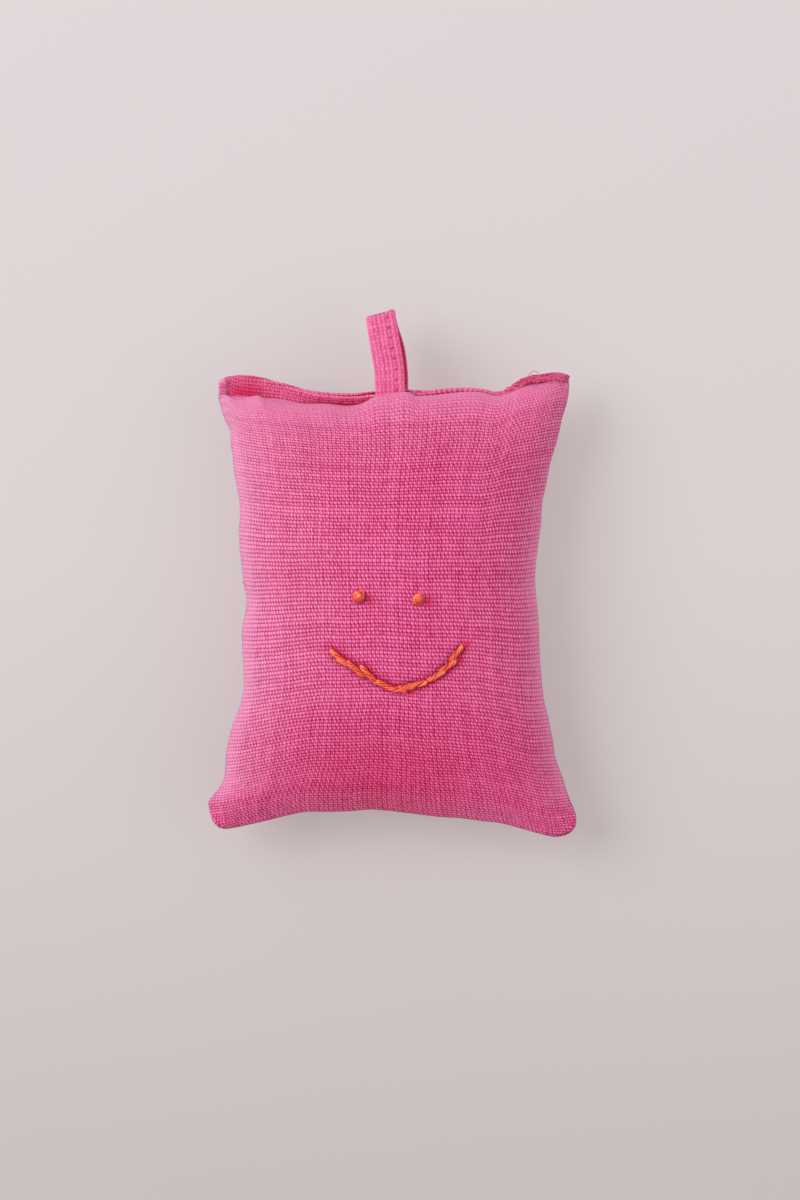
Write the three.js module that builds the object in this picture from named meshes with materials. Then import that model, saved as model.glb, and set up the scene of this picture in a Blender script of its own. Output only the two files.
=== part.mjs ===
// Lavender sachet: a small pillow of plain-woven cotton, filled with dried lavender buds, with a
// tape loop in its closing seam and two knots and a curve embroidered on its front.
// It lies on its back with the embroidered front up. Millimetres, +Z up, +Y towards the loop.
// The origin is the middle of the flat patch that the sachet rests on.
import * as THREE from "three";

// Outline of the filled bag at its seam. The filling draws the middle of each edge in.
const topWidth = 77.4;
const bottomWidth = 80.6;
const waistWidth = 64.4;
const topCornerReach = 50.4;
const bottomCornerReach = 51.2;
const topMiddleReach = 46;
const bottomMiddleReach = 46.3;
const cornerRounding = 3.4;
const edgeDrawExponent = 3.5;
const cornerRoundingExponent = 12;

// Crown of each side, measured from the seam plane, and how far the back is pressed flat
const crownHeight = 16.2;
const restFlattening = 1.7;
const acrossExponent = 2.4;
const alongExponent = 2.5;

// Cloth and the seams. The side and bottom seams are sewn inside out, so their allowances lie
// inside. The top edges are folded in and stitched flat into a narrow lip.
const clothThickness = 0.6;
const foldGap = 0.1;
const panelGap = 0.3;
const seamRoll = 0.35;
const seamAllowance = 5;
const lipHeight = 2.2;
const closingAllowance = 6;

// Sewing thread
const sewingThreadWidth = 0.3;
const sewingThreadGap = 0.1;
const seamThreadInset = 1.3;

// Filling, packed against the cloth and round the seam allowances
const fillingGap = 0.3;
const fillingEdgeInset = 1.7;

// Hanging loop: one folded tape, its two ends caught between the panels in the lip
const tapeWidth = 6.5;
const tapeThickness = 1;
const tapeClearance = 0.15;
const tailDepth = 4;
const seatMargin = 0.4;
const seatRamp = 3.6;
const loopClearance = 0.3;
const loopLength = 14;
const neckLength = 1.9;
const legSpread = 4.6;
const eyeGap = 4.8;
const loopLeanDegrees = 6.5;
const loopStitchInset = 1.7;
const loopStitchStart = 3;

// Embroidery in stranded floss
const flossWidth = 1.4;
const flossHeight = 0.8;
const flossGap = 0.15;
const stitchAdvance = 3.45;
const stitchOverlap = 0.7;
const stitchSlant = 0.52;
const smileStart = new THREE.Vector2(-13.6, -11.1);
const smileStartPull = new THREE.Vector2(-1.1, -19.7);
const smileEndPull = new THREE.Vector2(3.9, -24.4);
const smileEnd = new THREE.Vector2(15.6, -10.1);
const knotWidth = 2.9;
const knotHeight = 1.5;
const leftEye = new THREE.Vector2(-6.7, 0.7);
const rightEye = new THREE.Vector2(6, 0.1);

// How finely the soft forms are divided
const sideSteps = 16;
const bottomSteps = 16;
const closingSideSteps = 6;
const crownRingShares = [0.3, 0.56, 0.77, 0.91, 0.98];
const threadSides = 6;
const stitchSides = 8;
const stitchSteps = 8;

const part = new THREE.Group();
const cotton = new THREE.MeshStandardMaterial({ color: 0xd05a86, roughness: 0.92, metalness: 0 });
const thread = new THREE.MeshStandardMaterial({ color: 0xd9769b, roughness: 0.7, metalness: 0 });
const floss = new THREE.MeshStandardMaterial({ color: 0xeb6432, roughness: 0.55, metalness: 0 });
const buds = new THREE.MeshStandardMaterial({ color: 0x6f6a8c, roughness: 0.95, metalness: 0 });

function addPiece(name, geometry, material) {
  const mesh = new THREE.Mesh(geometry, material);
  mesh.name = name;
  part.add(mesh);
}

const seamHeight = crownHeight - restFlattening;
const lipEdge = topMiddleReach + lipHeight;
const lipLayers = 2 * clothThickness + foldGap;
const threadRadius = sewingThreadWidth / 2;

// Stations round the edge, counter-clockwise from the bottom left corner. across and along run
// from -1 to 1 over the bag. At the seat stations the lip opens for the ends of the loop.
function sineSpread(steps) {
  const places = [];
  for (let i = 0; i < steps; i += 1) {
    places.push(Math.sin(Math.PI * (i / steps - 1 / 2)));
  }
  return places;
}

function closingEdgeStations() {
  const seatHalf = tapeWidth / 2 + seatMargin;
  const seatShare = seatHalf / (topWidth / 2);
  const rampShare = (seatHalf + seatRamp) / (topWidth / 2);
  const list = [];
  for (let i = 0; i < closingSideSteps; i += 1) {
    const turn = (Math.PI / 2) * (i / closingSideSteps);
    list.push({ across: 1 - (1 - rampShare) * (1 - Math.cos(turn)), along: 1, seat: false });
  }
  list.push({ across: rampShare, along: 1, seat: false });
  for (const place of [seatShare, 0, -seatShare]) {
    list.push({ across: place, along: 1, seat: true });
  }
  list.push({ across: -rampShare, along: 1, seat: false });
  for (let i = closingSideSteps - 1; i > 0; i -= 1) {
    const turn = (Math.PI / 2) * (i / closingSideSteps);
    list.push({ across: (1 - rampShare) * (1 - Math.cos(turn)) - 1, along: 1, seat: false });
  }
  return list;
}

const bottomStations = sineSpread(bottomSteps).map((p) => ({ across: p, along: -1, seat: false }));
const rightStations = sineSpread(sideSteps).map((p) => ({ across: 1, along: p, seat: false }));
const topStations = closingEdgeStations();
const leftStations = sineSpread(sideSteps).map((p) => ({ across: -1, along: -p, seat: false }));
const stations = [...bottomStations, ...rightStations, ...topStations, ...leftStations];

// The drawn-in outline, as half widths and reaches from the middle
function halfWidthAt(along) {
  const corner = (along > 0 ? topWidth : bottomWidth) / 2;
  const waist = waistWidth / 2;
  return waist + (corner - waist) * Math.abs(along) ** edgeDrawExponent;
}

function reachAt(across, along) {
  const corner = along > 0 ? topCornerReach : bottomCornerReach;
  const middle = along > 0 ? topMiddleReach : bottomMiddleReach;
  return middle + (corner - middle) * Math.abs(across) ** edgeDrawExponent;
}

// A point of the outline, moved outwards by its own amount at the sides, the top and the bottom
function edgePoint(station, sideGrow, topGrow, bottomGrow) {
  const { across, along } = station;
  const width = halfWidthAt(along);
  const reach = reachAt(across, along);
  const endGrow = along > 0 ? topGrow : bottomGrow;
  const corner = Math.abs(across * along) ** cornerRoundingExponent;
  const kept = 1 - (cornerRounding / Math.hypot(width, reach)) * corner;
  return new THREE.Vector2(across * (width + sideGrow), along * (reach + endGrow)).multiplyScalar(kept);
}

function crownShare(across, along) {
  const acrossFall = 1 - Math.abs(across) ** acrossExponent;
  const alongFall = 1 - Math.abs(along) ** alongExponent;
  return Math.sqrt(Math.max(acrossFall * alongFall, 0));
}

// Half the space between the two panels at a station
function halfGapAt(station) {
  return station.seat ? tapeThickness + tapeClearance : panelGap / 2;
}

// A ring of the crown: share 0 is the middle of the panel and 1 its edge. depth is the distance
// inside the outer face of the cloth. Heights are above the seam plane.
function crownRing(share, depth) {
  const base = panelGap / 2 + lipLayers - Math.min(depth, clothThickness);
  return stations.map((station) => {
    const flat = edgePoint(station, -depth, -depth, -depth).multiplyScalar(share);
    const rise = crownShare(share * station.across, share * station.along);
    return new THREE.Vector3(flat.x, flat.y, base + (crownHeight - depth - base) * rise);
  });
}

// A ring of the seam: the same growth all round its stations, at a height above the panel gap
function seamRing(sideGrow, topGrow, bottomGrow, heightOverGap) {
  return stations.map((station) => {
    const flat = edgePoint(station, sideGrow, topGrow, bottomGrow);
    return new THREE.Vector3(flat.x, flat.y, halfGapAt(station) + heightOverGap);
  });
}

// Joins rings of equal count into a closed skin that ends in a middle point at both ends
function skinOver(firstMiddle, rings, lastMiddle, turned) {
  const count = rings[0].length;
  const points = [firstMiddle, ...rings.flat(), lastMiddle];
  const last = points.length - 1;
  const faces = [];
  const addFace = (a, b, c) => faces.push(...(turned ? [a, c, b] : [a, b, c]));
  for (let i = 0; i < count; i += 1) {
    const next = (i + 1) % count;
    addFace(0, 1 + i, 1 + next);
    for (let ring = 0; ring + 1 < rings.length; ring += 1) {
      const near = 1 + ring * count;
      const far = near + count;
      addFace(near + i, far + i, far + next);
      addFace(near + i, far + next, near + next);
    }
    const end = 1 + (rings.length - 1) * count;
    addFace(end + i, last, end + next);
  }
  const geometry = new THREE.BufferGeometry().setFromPoints(points);
  geometry.setIndex(faces);
  geometry.computeVertexNormals();
  return geometry;
}

// One cloth panel as a sheet with two faces: over the crown, out into the lip or rolled seam,
// folded back between the panels as the allowance, and then along its inner face.
function panelRings() {
  const turn = clothThickness / 2;
  const innerFold = clothThickness - foldGap;
  const outerFace = crownRingShares.map((share) => crownRing(share, 0));
  const innerFace = crownRingShares.map((share) => crownRing(share, clothThickness)).reverse();
  return [
    ...outerFace,
    seamRing(0, 0, 0, lipLayers),
    seamRing(seamRoll - turn, lipHeight - turn, seamRoll - turn, lipLayers),
    seamRing(seamRoll, lipHeight, seamRoll, lipLayers / 2),
    seamRing(seamRoll - turn, lipHeight - turn, seamRoll - turn, 0),
    seamRing(-seamAllowance, -closingAllowance, -seamAllowance, 0),
    seamRing(-seamAllowance, -closingAllowance, -seamAllowance, clothThickness),
    seamRing(seamRoll - innerFold, lipHeight - innerFold, seamRoll - innerFold, clothThickness),
    seamRing(seamRoll - innerFold, lipHeight - innerFold, seamRoll - innerFold, clothThickness + foldGap),
    seamRing(-clothThickness, -clothThickness, -clothThickness, clothThickness + foldGap),
    ...innerFace,
  ];
}

function raiseToFront(point) {
  return new THREE.Vector3(point.x, point.y, seamHeight + point.z);
}

// The back hangs below the seam plane, and no point of it goes lower than the flat patch
function lowerToBack(point, floor) {
  return new THREE.Vector3(point.x, point.y, Math.max(seamHeight - point.z, floor));
}

const rings = panelRings();
const innerMiddleHeight = crownHeight - clothThickness;
addPiece(
  "front_panel",
  skinOver(
    raiseToFront(new THREE.Vector3(0, 0, crownHeight)),
    rings.map((ring) => ring.map(raiseToFront)),
    raiseToFront(new THREE.Vector3(0, 0, innerMiddleHeight)),
    false,
  ),
  cotton,
);

const outerRingCount = rings.length - crownRingShares.length;
addPiece(
  "back_panel",
  skinOver(
    new THREE.Vector3(0, 0, 0),
    rings.map((ring, i) => {
      const floor = i < outerRingCount ? 0 : clothThickness;
      return ring.map((point) => lowerToBack(point, floor));
    }),
    new THREE.Vector3(0, 0, clothThickness),
    true,
  ),
  cotton,
);

// The filling follows the inside of both crowns and has a groove for the allowances between
function fillingRings() {
  const depth = clothThickness + fillingGap;
  const crown = crownRingShares.map((share) => crownRing(share, depth));
  const grooveHeight = clothThickness + sewingThreadGap + sewingThreadWidth + fillingGap;
  const edge = seamRing(-fillingEdgeInset, -fillingEdgeInset, -fillingEdgeInset, grooveHeight);
  const grooveInset = seamAllowance + fillingGap;
  const closingInset = closingAllowance + fillingGap;
  const groove = seamRing(-grooveInset, -closingInset, -grooveInset, grooveHeight);
  const floor = clothThickness + fillingGap;
  const upper = [...crown, edge, groove].map((ring) => ring.map(raiseToFront));
  const lower = [groove, edge, ...crown.toReversed()].map((ring) =>
    ring.map((point) => lowerToBack(point, floor)),
  );
  return [...upper, ...lower];
}

addPiece(
  "lavender_filling",
  skinOver(
    raiseToFront(new THREE.Vector3(0, 0, innerMiddleHeight - fillingGap)),
    fillingRings(),
    new THREE.Vector3(0, 0, clothThickness + fillingGap),
    false,
  ),
  buds,
);

// A closed strand along a list of places. Each place has its middle, its upward direction, and
// its half width and half height. The first and last sections are closed flat.
function strand(places, sides) {
  const sections = places.map((place, i) => {
    const before = places[Math.max(i - 1, 0)].middle;
    const after = places[Math.min(i + 1, places.length - 1)].middle;
    const forward = after.clone().sub(before).normalize();
    const sideways = new THREE.Vector3().crossVectors(forward, place.up).normalize();
    const upward = new THREE.Vector3().crossVectors(sideways, forward);
    const section = [];
    for (let k = 0; k < sides; k += 1) {
      const angle = (2 * Math.PI * k) / sides;
      const point = place.middle.clone();
      point.addScaledVector(sideways, place.halfWidth * Math.cos(angle));
      point.addScaledVector(upward, place.halfHeight * Math.sin(angle));
      section.push(point);
    }
    return section;
  });
  return skinOver(places[0].middle, sections, places.at(-1).middle, false);
}

// Sewing thread that lies along a run of stations, on the front or the back
function seamThread(run, sideGrow, topGrow, bottomGrow, heightOverGap, onFront) {
  const lift = heightOverGap + sewingThreadGap + threadRadius;
  const places = run.map((station) => {
    const flat = edgePoint(station, sideGrow, topGrow, bottomGrow);
    const height = halfGapAt(station) + lift;
    return {
      middle: new THREE.Vector3(flat.x, flat.y, seamHeight + (onFront ? height : -height)),
      up: new THREE.Vector3(0, 0, 1),
      halfWidth: threadRadius,
      halfHeight: threadRadius,
    };
  });
  return strand(places, threadSides);
}

// Lockstitch along the middle of the lip: needle thread in front, bobbin thread behind
const closingRun = [...topStations.slice(1), leftStations[0]].slice(0, -1);
const lipMiddle = lipHeight / 2;
const needleLine = seamThread(closingRun, -seamRoll, lipMiddle, -seamRoll, lipLayers, true);
const bobbinLine = seamThread(closingRun, -seamRoll, lipMiddle, -seamRoll, lipLayers, false);
addPiece("closing_needle_thread", needleLine, thread);
addPiece("closing_bobbin_thread", bobbinLine, thread);

// The side and bottom seams are one line of stitching inside, on the faces of the allowances
const sewnRun = [
  ...leftStations.slice(1),
  ...bottomStations,
  ...rightStations,
];
const inset = -seamThreadInset;
const innerNeedleLine = seamThread(sewnRun, inset, inset, inset, clothThickness, true);
const innerBobbinLine = seamThread(sewnRun, inset, inset, inset, clothThickness, false);
addPiece("seam_needle_thread", innerNeedleLine, thread);
addPiece("seam_bobbin_thread", innerBobbinLine, thread);

// The two ends of the tape, one on the other between the panels, flush with the lip
const tailLength = lipHeight + tailDepth;
const tails = new THREE.BoxGeometry(tapeWidth, tailLength, 2 * tapeThickness);
tails.translate(0, lipEdge - tailLength / 2, seamHeight);
addPiece("loop_tails", tails, cotton);

// The loop folds at the lip. Seen from the side its two legs lie together in a short neck, then
// open into a round-topped eye. Distances run from the fold axis.
const foldAxisReach = lipEdge + loopClearance + tapeThickness;
const loopHalfDepth = eyeGap / 2 + tapeThickness;
const eyeTopCentre = loopLength - loopHalfDepth;
const legEnd = neckLength + legSpread;
const leg = new THREE.CubicBezierCurve(
  new THREE.Vector2(neckLength, tapeThickness),
  new THREE.Vector2(neckLength + legSpread / 2, tapeThickness),
  new THREE.Vector2(legEnd - legSpread / 2, loopHalfDepth),
  new THREE.Vector2(legEnd, loopHalfDepth),
);
const legDivisions = 10;
const roundDivisions = 14;

// Points on the outer face of the tape, moved in or out by a distance along its normal
function legPoints(shift) {
  const list = [];
  for (let i = 0; i <= legDivisions; i += 1) {
    const share = i / legDivisions;
    const along = leg.getTangent(share);
    const point = leg.getPoint(share);
    list.push(new THREE.Vector2(point.x - along.y * shift, point.y + along.x * shift));
  }
  return list;
}

function roundPoints(shift) {
  const radius = loopHalfDepth + shift;
  const list = [];
  for (let i = 0; i <= roundDivisions; i += 1) {
    const angle = Math.PI * (1 / 2 - i / roundDivisions);
    const reach = eyeTopCentre + radius * Math.cos(angle);
    list.push(new THREE.Vector2(reach, radius * Math.sin(angle)));
  }
  return list;
}

function mirrored(points) {
  return points.toReversed().map((point) => new THREE.Vector2(point.x, -point.y));
}

function loopOutline() {
  const heel = [];
  const heelDivisions = roundDivisions / 2;
  for (let i = 0; i <= heelDivisions; i += 1) {
    const angle = Math.PI * (3 / 2 - i / heelDivisions);
    heel.push(new THREE.Vector2(Math.cos(angle), Math.sin(angle)).multiplyScalar(tapeThickness));
  }
  const side = legPoints(0);
  return [...heel, ...side, ...roundPoints(0), ...mirrored(side)];
}

// The eye narrows to a crotch where the two legs meet. It runs the other way round, as a hole.
function eyeOutline() {
  const side = legPoints(-tapeThickness).filter((point) => point.y > tapeClearance);
  const crotch = new THREE.Vector2(side[0].x - side[0].y, 0);
  return [crotch, ...side, ...roundPoints(-tapeThickness), ...mirrored(side)].toReversed();
}

// Bends a geometry of the loop over to the left above its fold axis, as far as the neck's length
function leanOver(geometry) {
  const places = geometry.getAttribute("position");
  const lean = THREE.MathUtils.degToRad(loopLeanDegrees);
  for (let i = 0; i < places.count; i += 1) {
    const x = places.getX(i);
    const y = places.getY(i);
    const angle = lean * THREE.MathUtils.clamp(y / neckLength, 0, 1);
    places.setX(i, x * Math.cos(angle) - y * Math.sin(angle));
    places.setY(i, x * Math.sin(angle) + y * Math.cos(angle));
  }
  geometry.translate(0, foldAxisReach, seamHeight);
  geometry.computeVertexNormals();
  return geometry;
}

const loopShape = new THREE.Shape(loopOutline());
loopShape.holes.push(new THREE.Path(eyeOutline()));
const loop = new THREE.ExtrudeGeometry(loopShape, { depth: tapeWidth, bevelEnabled: false });
loop.translate(0, 0, -tapeWidth / 2);
const reachAxis = new THREE.Vector3(0, 1, 0);
const depthAxis = new THREE.Vector3(0, 0, 1);
const widthAxis = new THREE.Vector3(1, 0, 0);
loop.applyMatrix4(new THREE.Matrix4().makeBasis(reachAxis, depthAxis, widthAxis));
addPiece("hanging_loop", leanOver(loop), cotton);

// The row of stitches that closes the folded tape runs along its outer face, off the middle
const rowOffset = tapeWidth / 2 - loopStitchInset;
const rowShift = sewingThreadGap + threadRadius;
const rowSide = legPoints(rowShift).filter((point) => point.x > loopStitchStart);
const rowPoints = [...rowSide, ...roundPoints(rowShift).slice(1, -1), ...mirrored(rowSide)];
const loopRow = rowPoints.map((point) => ({
  middle: new THREE.Vector3(rowOffset, point.x, point.y),
  up: widthAxis,
  halfWidth: threadRadius,
  halfHeight: threadRadius,
}));
addPiece("loop_edge_thread", leanOver(strand(loopRow, threadSides)), thread);

// Height of the outer face of the front over a point, and the upward direction there
function frontHeight(x, y) {
  let across = x / halfWidthAt(0);
  let along = y / reachAt(0, y);
  for (let i = 0; i < 8; i += 1) {
    const share = Math.max(Math.abs(across), Math.abs(along), Number.EPSILON);
    const width = halfWidthAt(along / share);
    const reach = reachAt(across / share, y);
    across = x / width;
    along = y / reach;
  }
  const base = panelGap / 2 + lipLayers;
  return seamHeight + base + (crownHeight - base) * crownShare(across, along);
}

function frontUp(x, y) {
  const probe = flossWidth / 2;
  const slopeX = (frontHeight(x + probe, y) - frontHeight(x - probe, y)) / (2 * probe);
  const slopeY = (frontHeight(x, y + probe) - frontHeight(x, y - probe)) / (2 * probe);
  return new THREE.Vector3(-slopeX, -slopeY, 1).normalize();
}

// Stem stitch along the smile: each stitch starts on one side of the line beside the end of the
// last one and ends on the other side, thick in its middle and thin where it dives into the cloth.
const smile = new THREE.CubicBezierCurve(smileStart, smileStartPull, smileEndPull, smileEnd);
const smileLength = smile.getLength();
const stitchCount = Math.max(Math.round(smileLength / stitchAdvance), 1);

function smileStitch(index) {
  const from = (index * smileLength) / stitchCount - stitchOverlap / 2;
  const to = ((index + 1) * smileLength) / stitchCount + stitchOverlap / 2;
  const places = [];
  for (let i = 0; i <= stitchSteps; i += 1) {
    const share = i / stitchSteps;
    const run = (from + (to - from) * share) / smileLength;
    const inside = THREE.MathUtils.clamp(run, 0, 1);
    const along = smile.getTangentAt(inside);
    const point = smile.getPointAt(inside).addScaledVector(along, (run - inside) * smileLength);
    const side = stitchSlant * (2 * share - 1);
    const x = point.x + along.y * side;
    const y = point.y - along.x * side;
    const fullness = Math.sqrt(Math.sin(Math.PI * (share + 1 / stitchSteps / 2) / (1 + 1 / stitchSteps)));
    const halfHeight = (flossHeight / 2) * fullness;
    const middle = new THREE.Vector3(x, y, frontHeight(x, y));
    const up = frontUp(x, y);
    middle.addScaledVector(up, flossGap + halfHeight);
    places.push({ middle, up, halfWidth: (flossWidth / 2) * fullness, halfHeight });
  }
  return strand(places, stitchSides);
}

for (let index = 0; index < stitchCount; index += 1) {
  const number = String(index + 1).padStart(2, "0");
  addPiece("smile_stitch_" + number, smileStitch(index), floss);
}

// Each eye is a knot of two wraps of floss with a dimple where the needle went back through.
// The shares are of the half width and the height.
const knotProfileShares = [
  [0, 0],
  [0.8, 0],
  [0.98, 0.14],
  [1, 0.3],
  [0.88, 0.48],
  [0.94, 0.62],
  [0.84, 0.84],
  [0.56, 1],
  [0.26, 0.92],
  [0, 0.62],
];
const knotSegments = 14;

function eyeKnot(place) {
  const profile = knotProfileShares.map(
    ([radius, height]) => new THREE.Vector2((radius * knotWidth) / 2, height * knotHeight),
  );
  const geometry = new THREE.LatheGeometry(profile, knotSegments);
  const up = frontUp(place.x, place.y);
  const turn = new THREE.Quaternion().setFromUnitVectors(reachAxis, up);
  const seat = new THREE.Vector3(place.x, place.y, frontHeight(place.x, place.y));
  seat.addScaledVector(up, flossGap);
  geometry.applyQuaternion(turn);
  geometry.translate(seat.x, seat.y, seat.z);
  return geometry;
}

addPiece("left_eye_knot", eyeKnot(leftEye), floss);
addPiece("right_eye_knot", eyeKnot(rightEye), floss);

export default part;
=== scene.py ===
import bpy
import numpy as np
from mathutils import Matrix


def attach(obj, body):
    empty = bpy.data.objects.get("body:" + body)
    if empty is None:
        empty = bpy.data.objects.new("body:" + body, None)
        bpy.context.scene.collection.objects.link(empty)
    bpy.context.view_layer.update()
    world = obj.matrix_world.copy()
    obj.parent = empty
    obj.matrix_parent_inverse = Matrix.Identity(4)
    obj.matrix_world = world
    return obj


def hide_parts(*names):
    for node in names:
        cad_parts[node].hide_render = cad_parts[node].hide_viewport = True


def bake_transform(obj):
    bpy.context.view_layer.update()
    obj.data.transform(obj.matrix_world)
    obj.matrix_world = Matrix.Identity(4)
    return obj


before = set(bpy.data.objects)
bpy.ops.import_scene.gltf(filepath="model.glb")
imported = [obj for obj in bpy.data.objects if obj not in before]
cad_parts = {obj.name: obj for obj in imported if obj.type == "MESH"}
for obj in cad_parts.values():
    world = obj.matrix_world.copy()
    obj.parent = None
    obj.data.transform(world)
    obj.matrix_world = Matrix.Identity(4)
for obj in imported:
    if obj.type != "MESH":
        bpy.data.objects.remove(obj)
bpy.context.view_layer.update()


scene = bpy.context.scene
case_cells = (40, 52)
cut_width_top = 0.0800
cut_width_bottom = 0.0825
cut_length = 0.1032
corner_rounding = 0.0042
corner_exponent = 9
guess_turn = 0.35
guess_draws = (0.2, 0.1)
guess_draw_exponent = 3.5
guess_exponents = (2.4, 2.5)
guess_crown = 0.93
cut_lift = 0.0002
filling_volume = 125
swelling_frames = 24
seam_plane = 0.0145
crown_height = 0.0162
rest_depth = 0.0145
solver_scale = 100


def flat_cut(across, along):
    """Where a thread crossing lies on the flat cut, for shares from -1 to 1 across and along it."""
    width = cut_width_bottom + (cut_width_top - cut_width_bottom) * (along + 1) / 2
    pull = corner_rounding / np.hypot(cut_width_top, cut_length) * 2
    pull = pull * np.abs(across * along) ** corner_exponent
    return across * width / 2 * (1 - pull), along * cut_length / 2 * (1 - pull)


def half_filled(across, along):
    """A first guess at the filled shape, from which the cloth settles."""
    across, along = ((1 - guess_turn) * share + guess_turn * np.sin(share * np.pi / 2)
                     for share in (across, along))
    x, y = flat_cut(across, along)
    x *= 1 - guess_draws[0] * (1 - np.abs(along) ** guess_draw_exponent)
    y *= 1 - guess_draws[1] * (1 - np.abs(across) ** guess_draw_exponent)
    falls = [1 - np.abs(share) ** power for share, power in zip((across, along), guess_exponents)]
    return x, y, np.sqrt(np.clip(falls[0] * falls[1], 0, 1)) * crown_height * guess_crown


def share_grid(fineness=1):
    """Shares from -1 to 1 across and along the case, at the corners of its cells."""
    return np.meshgrid(*(np.linspace(-1, 1, n * fineness + 1) for n in case_cells), indexing="ij")


def quads_of(grid):
    """The four corners of every cell in a grid of point numbers."""
    return np.stack((grid[:-1, :-1], grid[1:, :-1], grid[1:, 1:], grid[:-1, 1:]), axis=-1).reshape(-1, 4)


def smooth_mesh(name, points, faces, edges=()):
    mesh = bpy.data.meshes.new(name)
    mesh.from_pydata(np.reshape(points, (-1, 3)).tolist(), edges, faces)
    mesh.polygons.foreach_set("use_smooth", [True] * len(mesh.polygons))
    return mesh


def placed(name, data):
    """A new object in the scene, at the origin, that holds a mesh, a camera or a lamp."""
    piece = bpy.data.objects.new(name, data)
    scene.collection.objects.link(piece)
    return piece


def point_places(mesh):
    places = np.empty(len(mesh.vertices) * 3)
    mesh.vertices.foreach_get("co", places)
    return places.reshape(-1, 3)


def swell_case():
    """The front and back of the filled case, each as rows of points across by along, in metres."""
    across, along = share_grid()
    rim = (np.abs(across) == 1) | (np.abs(along) == 1)
    start = np.stack(half_filled(across, along), axis=-1)
    start[rim, 2] = 0
    flat = np.stack((*flat_cut(across, along), np.where(rim, 0, cut_lift)), axis=-1)
    front = np.arange(across.size).reshape(across.shape)
    back = front.copy()
    back[~rim] = across.size + np.arange(np.count_nonzero(~rim))
    points, rest = (np.concatenate((shape.reshape(-1, 3), shape[~rim] * (1, 1, -1))) * solver_scale
                    for shape in (start, flat))
    faces = np.concatenate((quads_of(front), quads_of(back)[:, [0, 3, 2, 1]]))
    mesh = smooth_mesh("case_swelling", points, faces.tolist())
    case = placed("case_swelling", mesh)
    case.shape_key_add(name="swollen")
    cut = case.shape_key_add(name="cut")
    cut.data.foreach_set("co", rest.ravel())
    cloth = case.modifiers.new("cloth", "CLOTH")
    cloth.settings.rest_shape_key = cut
    for name, value in dict(
        quality=6, mass=0.3, air_damping=1, use_pressure=True, uniform_pressure_force=0,
        use_pressure_volume=True, target_volume=filling_volume, pressure_factor=20,
        tension_stiffness=100, compression_stiffness=20, shear_stiffness=5, bending_stiffness=14,
        tension_damping=5, compression_damping=5, shear_damping=5, bending_damping=0.5,
    ).items():
        setattr(cloth.settings, name, value)
    cloth.settings.effector_weights.gravity = 0
    cloth.collision_settings.use_collision = False
    cloth.point_cache.frame_end = swelling_frames
    for step in range(1, swelling_frames + 1):
        scene.frame_set(step)
    settled = case.evaluated_get(bpy.context.evaluated_depsgraph_get())
    places = point_places(settled.data) / solver_scale
    scene.frame_set(1)
    bpy.data.objects.remove(case)
    bpy.data.meshes.remove(mesh)
    return places[front], places[back]


front_rows, back_rows = swell_case()

# ---- The panels ----
# front_panel and back_panel are the two pieces of that case, a third of a millimetre of plain-woven cotton.
# Their edges roll in at the sewn seam. Along the top each is folded in once more, and the two folds are
# stitched together as a lip, which holds the loop and whose left end the front's cloth wraps.
from mathutils import Vector
from mathutils.bvhtree import BVHTree

cloth_thickness = 0.00036
seam_gap = 0.00003
seam_roll = 0.00024
seam_root = 0.002
turned_in = 0.0016
turned_in_flat = (0.0002, 0.0016)
grid_per_cell = 4
crown_rise = 1.08
easing = 4
flat_easing = 16
settling = 0.0013
corner_plumpness = 0.0023
corner_reach = 0.009
edge_reach = 0.0012
closing_line = (
    (-39, 45.3), (-34, 45.0), (-31, 44.9), (-28, 44.7), (-25, 44.6), (-22, 44.2), (-18, 43.6), (-14, 43.4),
    (-9.6, 43.2), (-5, 42.8), (0, 43.0), (5, 43.5), (8, 44.0), (12, 44.5), (16, 44.8), (20, 44.6),
    (24, 44.1), (27, 45.7), (30, 48.1), (34, 49.2), (36.5, 49.5), (38.3, 49.2), (41, 47.8))
bottom_draw = (-1.5, -1.9, -1.8, -1.5, -1.05, -0.4, 0.1, -0.1, -0.1, 0.2, -0.2,
               -0.8, -1.35, -1.5, -1.9, -2.1, -2.8, -3.5, -3.8, -3.2, -2.1)
left_draw = (-0.7, -2.5, -1.4, -1.5, 0.0, 0.1, -0.1, -0.1, -1.0, -0.9, -1.3, -1.1, -1.2, -0.9)
right_draw = (1.8, 2.8, 2.1, 1.6, 0.6, 0.3, 0.0, -0.6, 0.2, 0.8, 1.8, 2.7, 2.8, 1.9)
left_dents = (
    (-49, 0.4), (-46, 0.2), (-43.5, -0.7), (-41.3, 0.0), (-39, 0.4), (-35, 0.0), (-30, -0.25), (-26.5, -0.5),
    (-23, 0.0), (-19, 0.5), (-15, 0.25), (-12, 0.0), (-7, -0.2), (-5.2, 0.0), (-3, 0.5), (-0.5, 0.8),
    (1.5, 0.7), (3.4, 0.2), (5.5, 0.0), (15, 0.05), (20, 0.5), (25, 0.2), (29, 0.1), (33.6, 0.4),
    (36, 0.25), (39, 0.8), (41.5, 0.25), (45, 0.1))
right_dents = (
    (-48, 0.4), (-46, 0.35), (-43, -0.1), (-38, 0.2), (-33.5, -0.35), (-30, 0.1), (-25, 0.4), (-21, 0.0),
    (-12, -0.2), (-2, 0.0), (6, -0.2), (12, -0.2), (17, 0.0), (22, -0.2), (26, 0.0), (30, -0.2),
    (35, 0.0), (40, -0.4), (44, -0.15))
dent_exponent = 4
bottom_exponent = 2
closing_exponent = 5
lip_layer = 0.00058
lip_stations = (-39, -34, -31, -28, -25, -20, -16, -13, -8, -5, -3, 3, 5, 8, 20, 24, 27, 31, 41)
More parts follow.
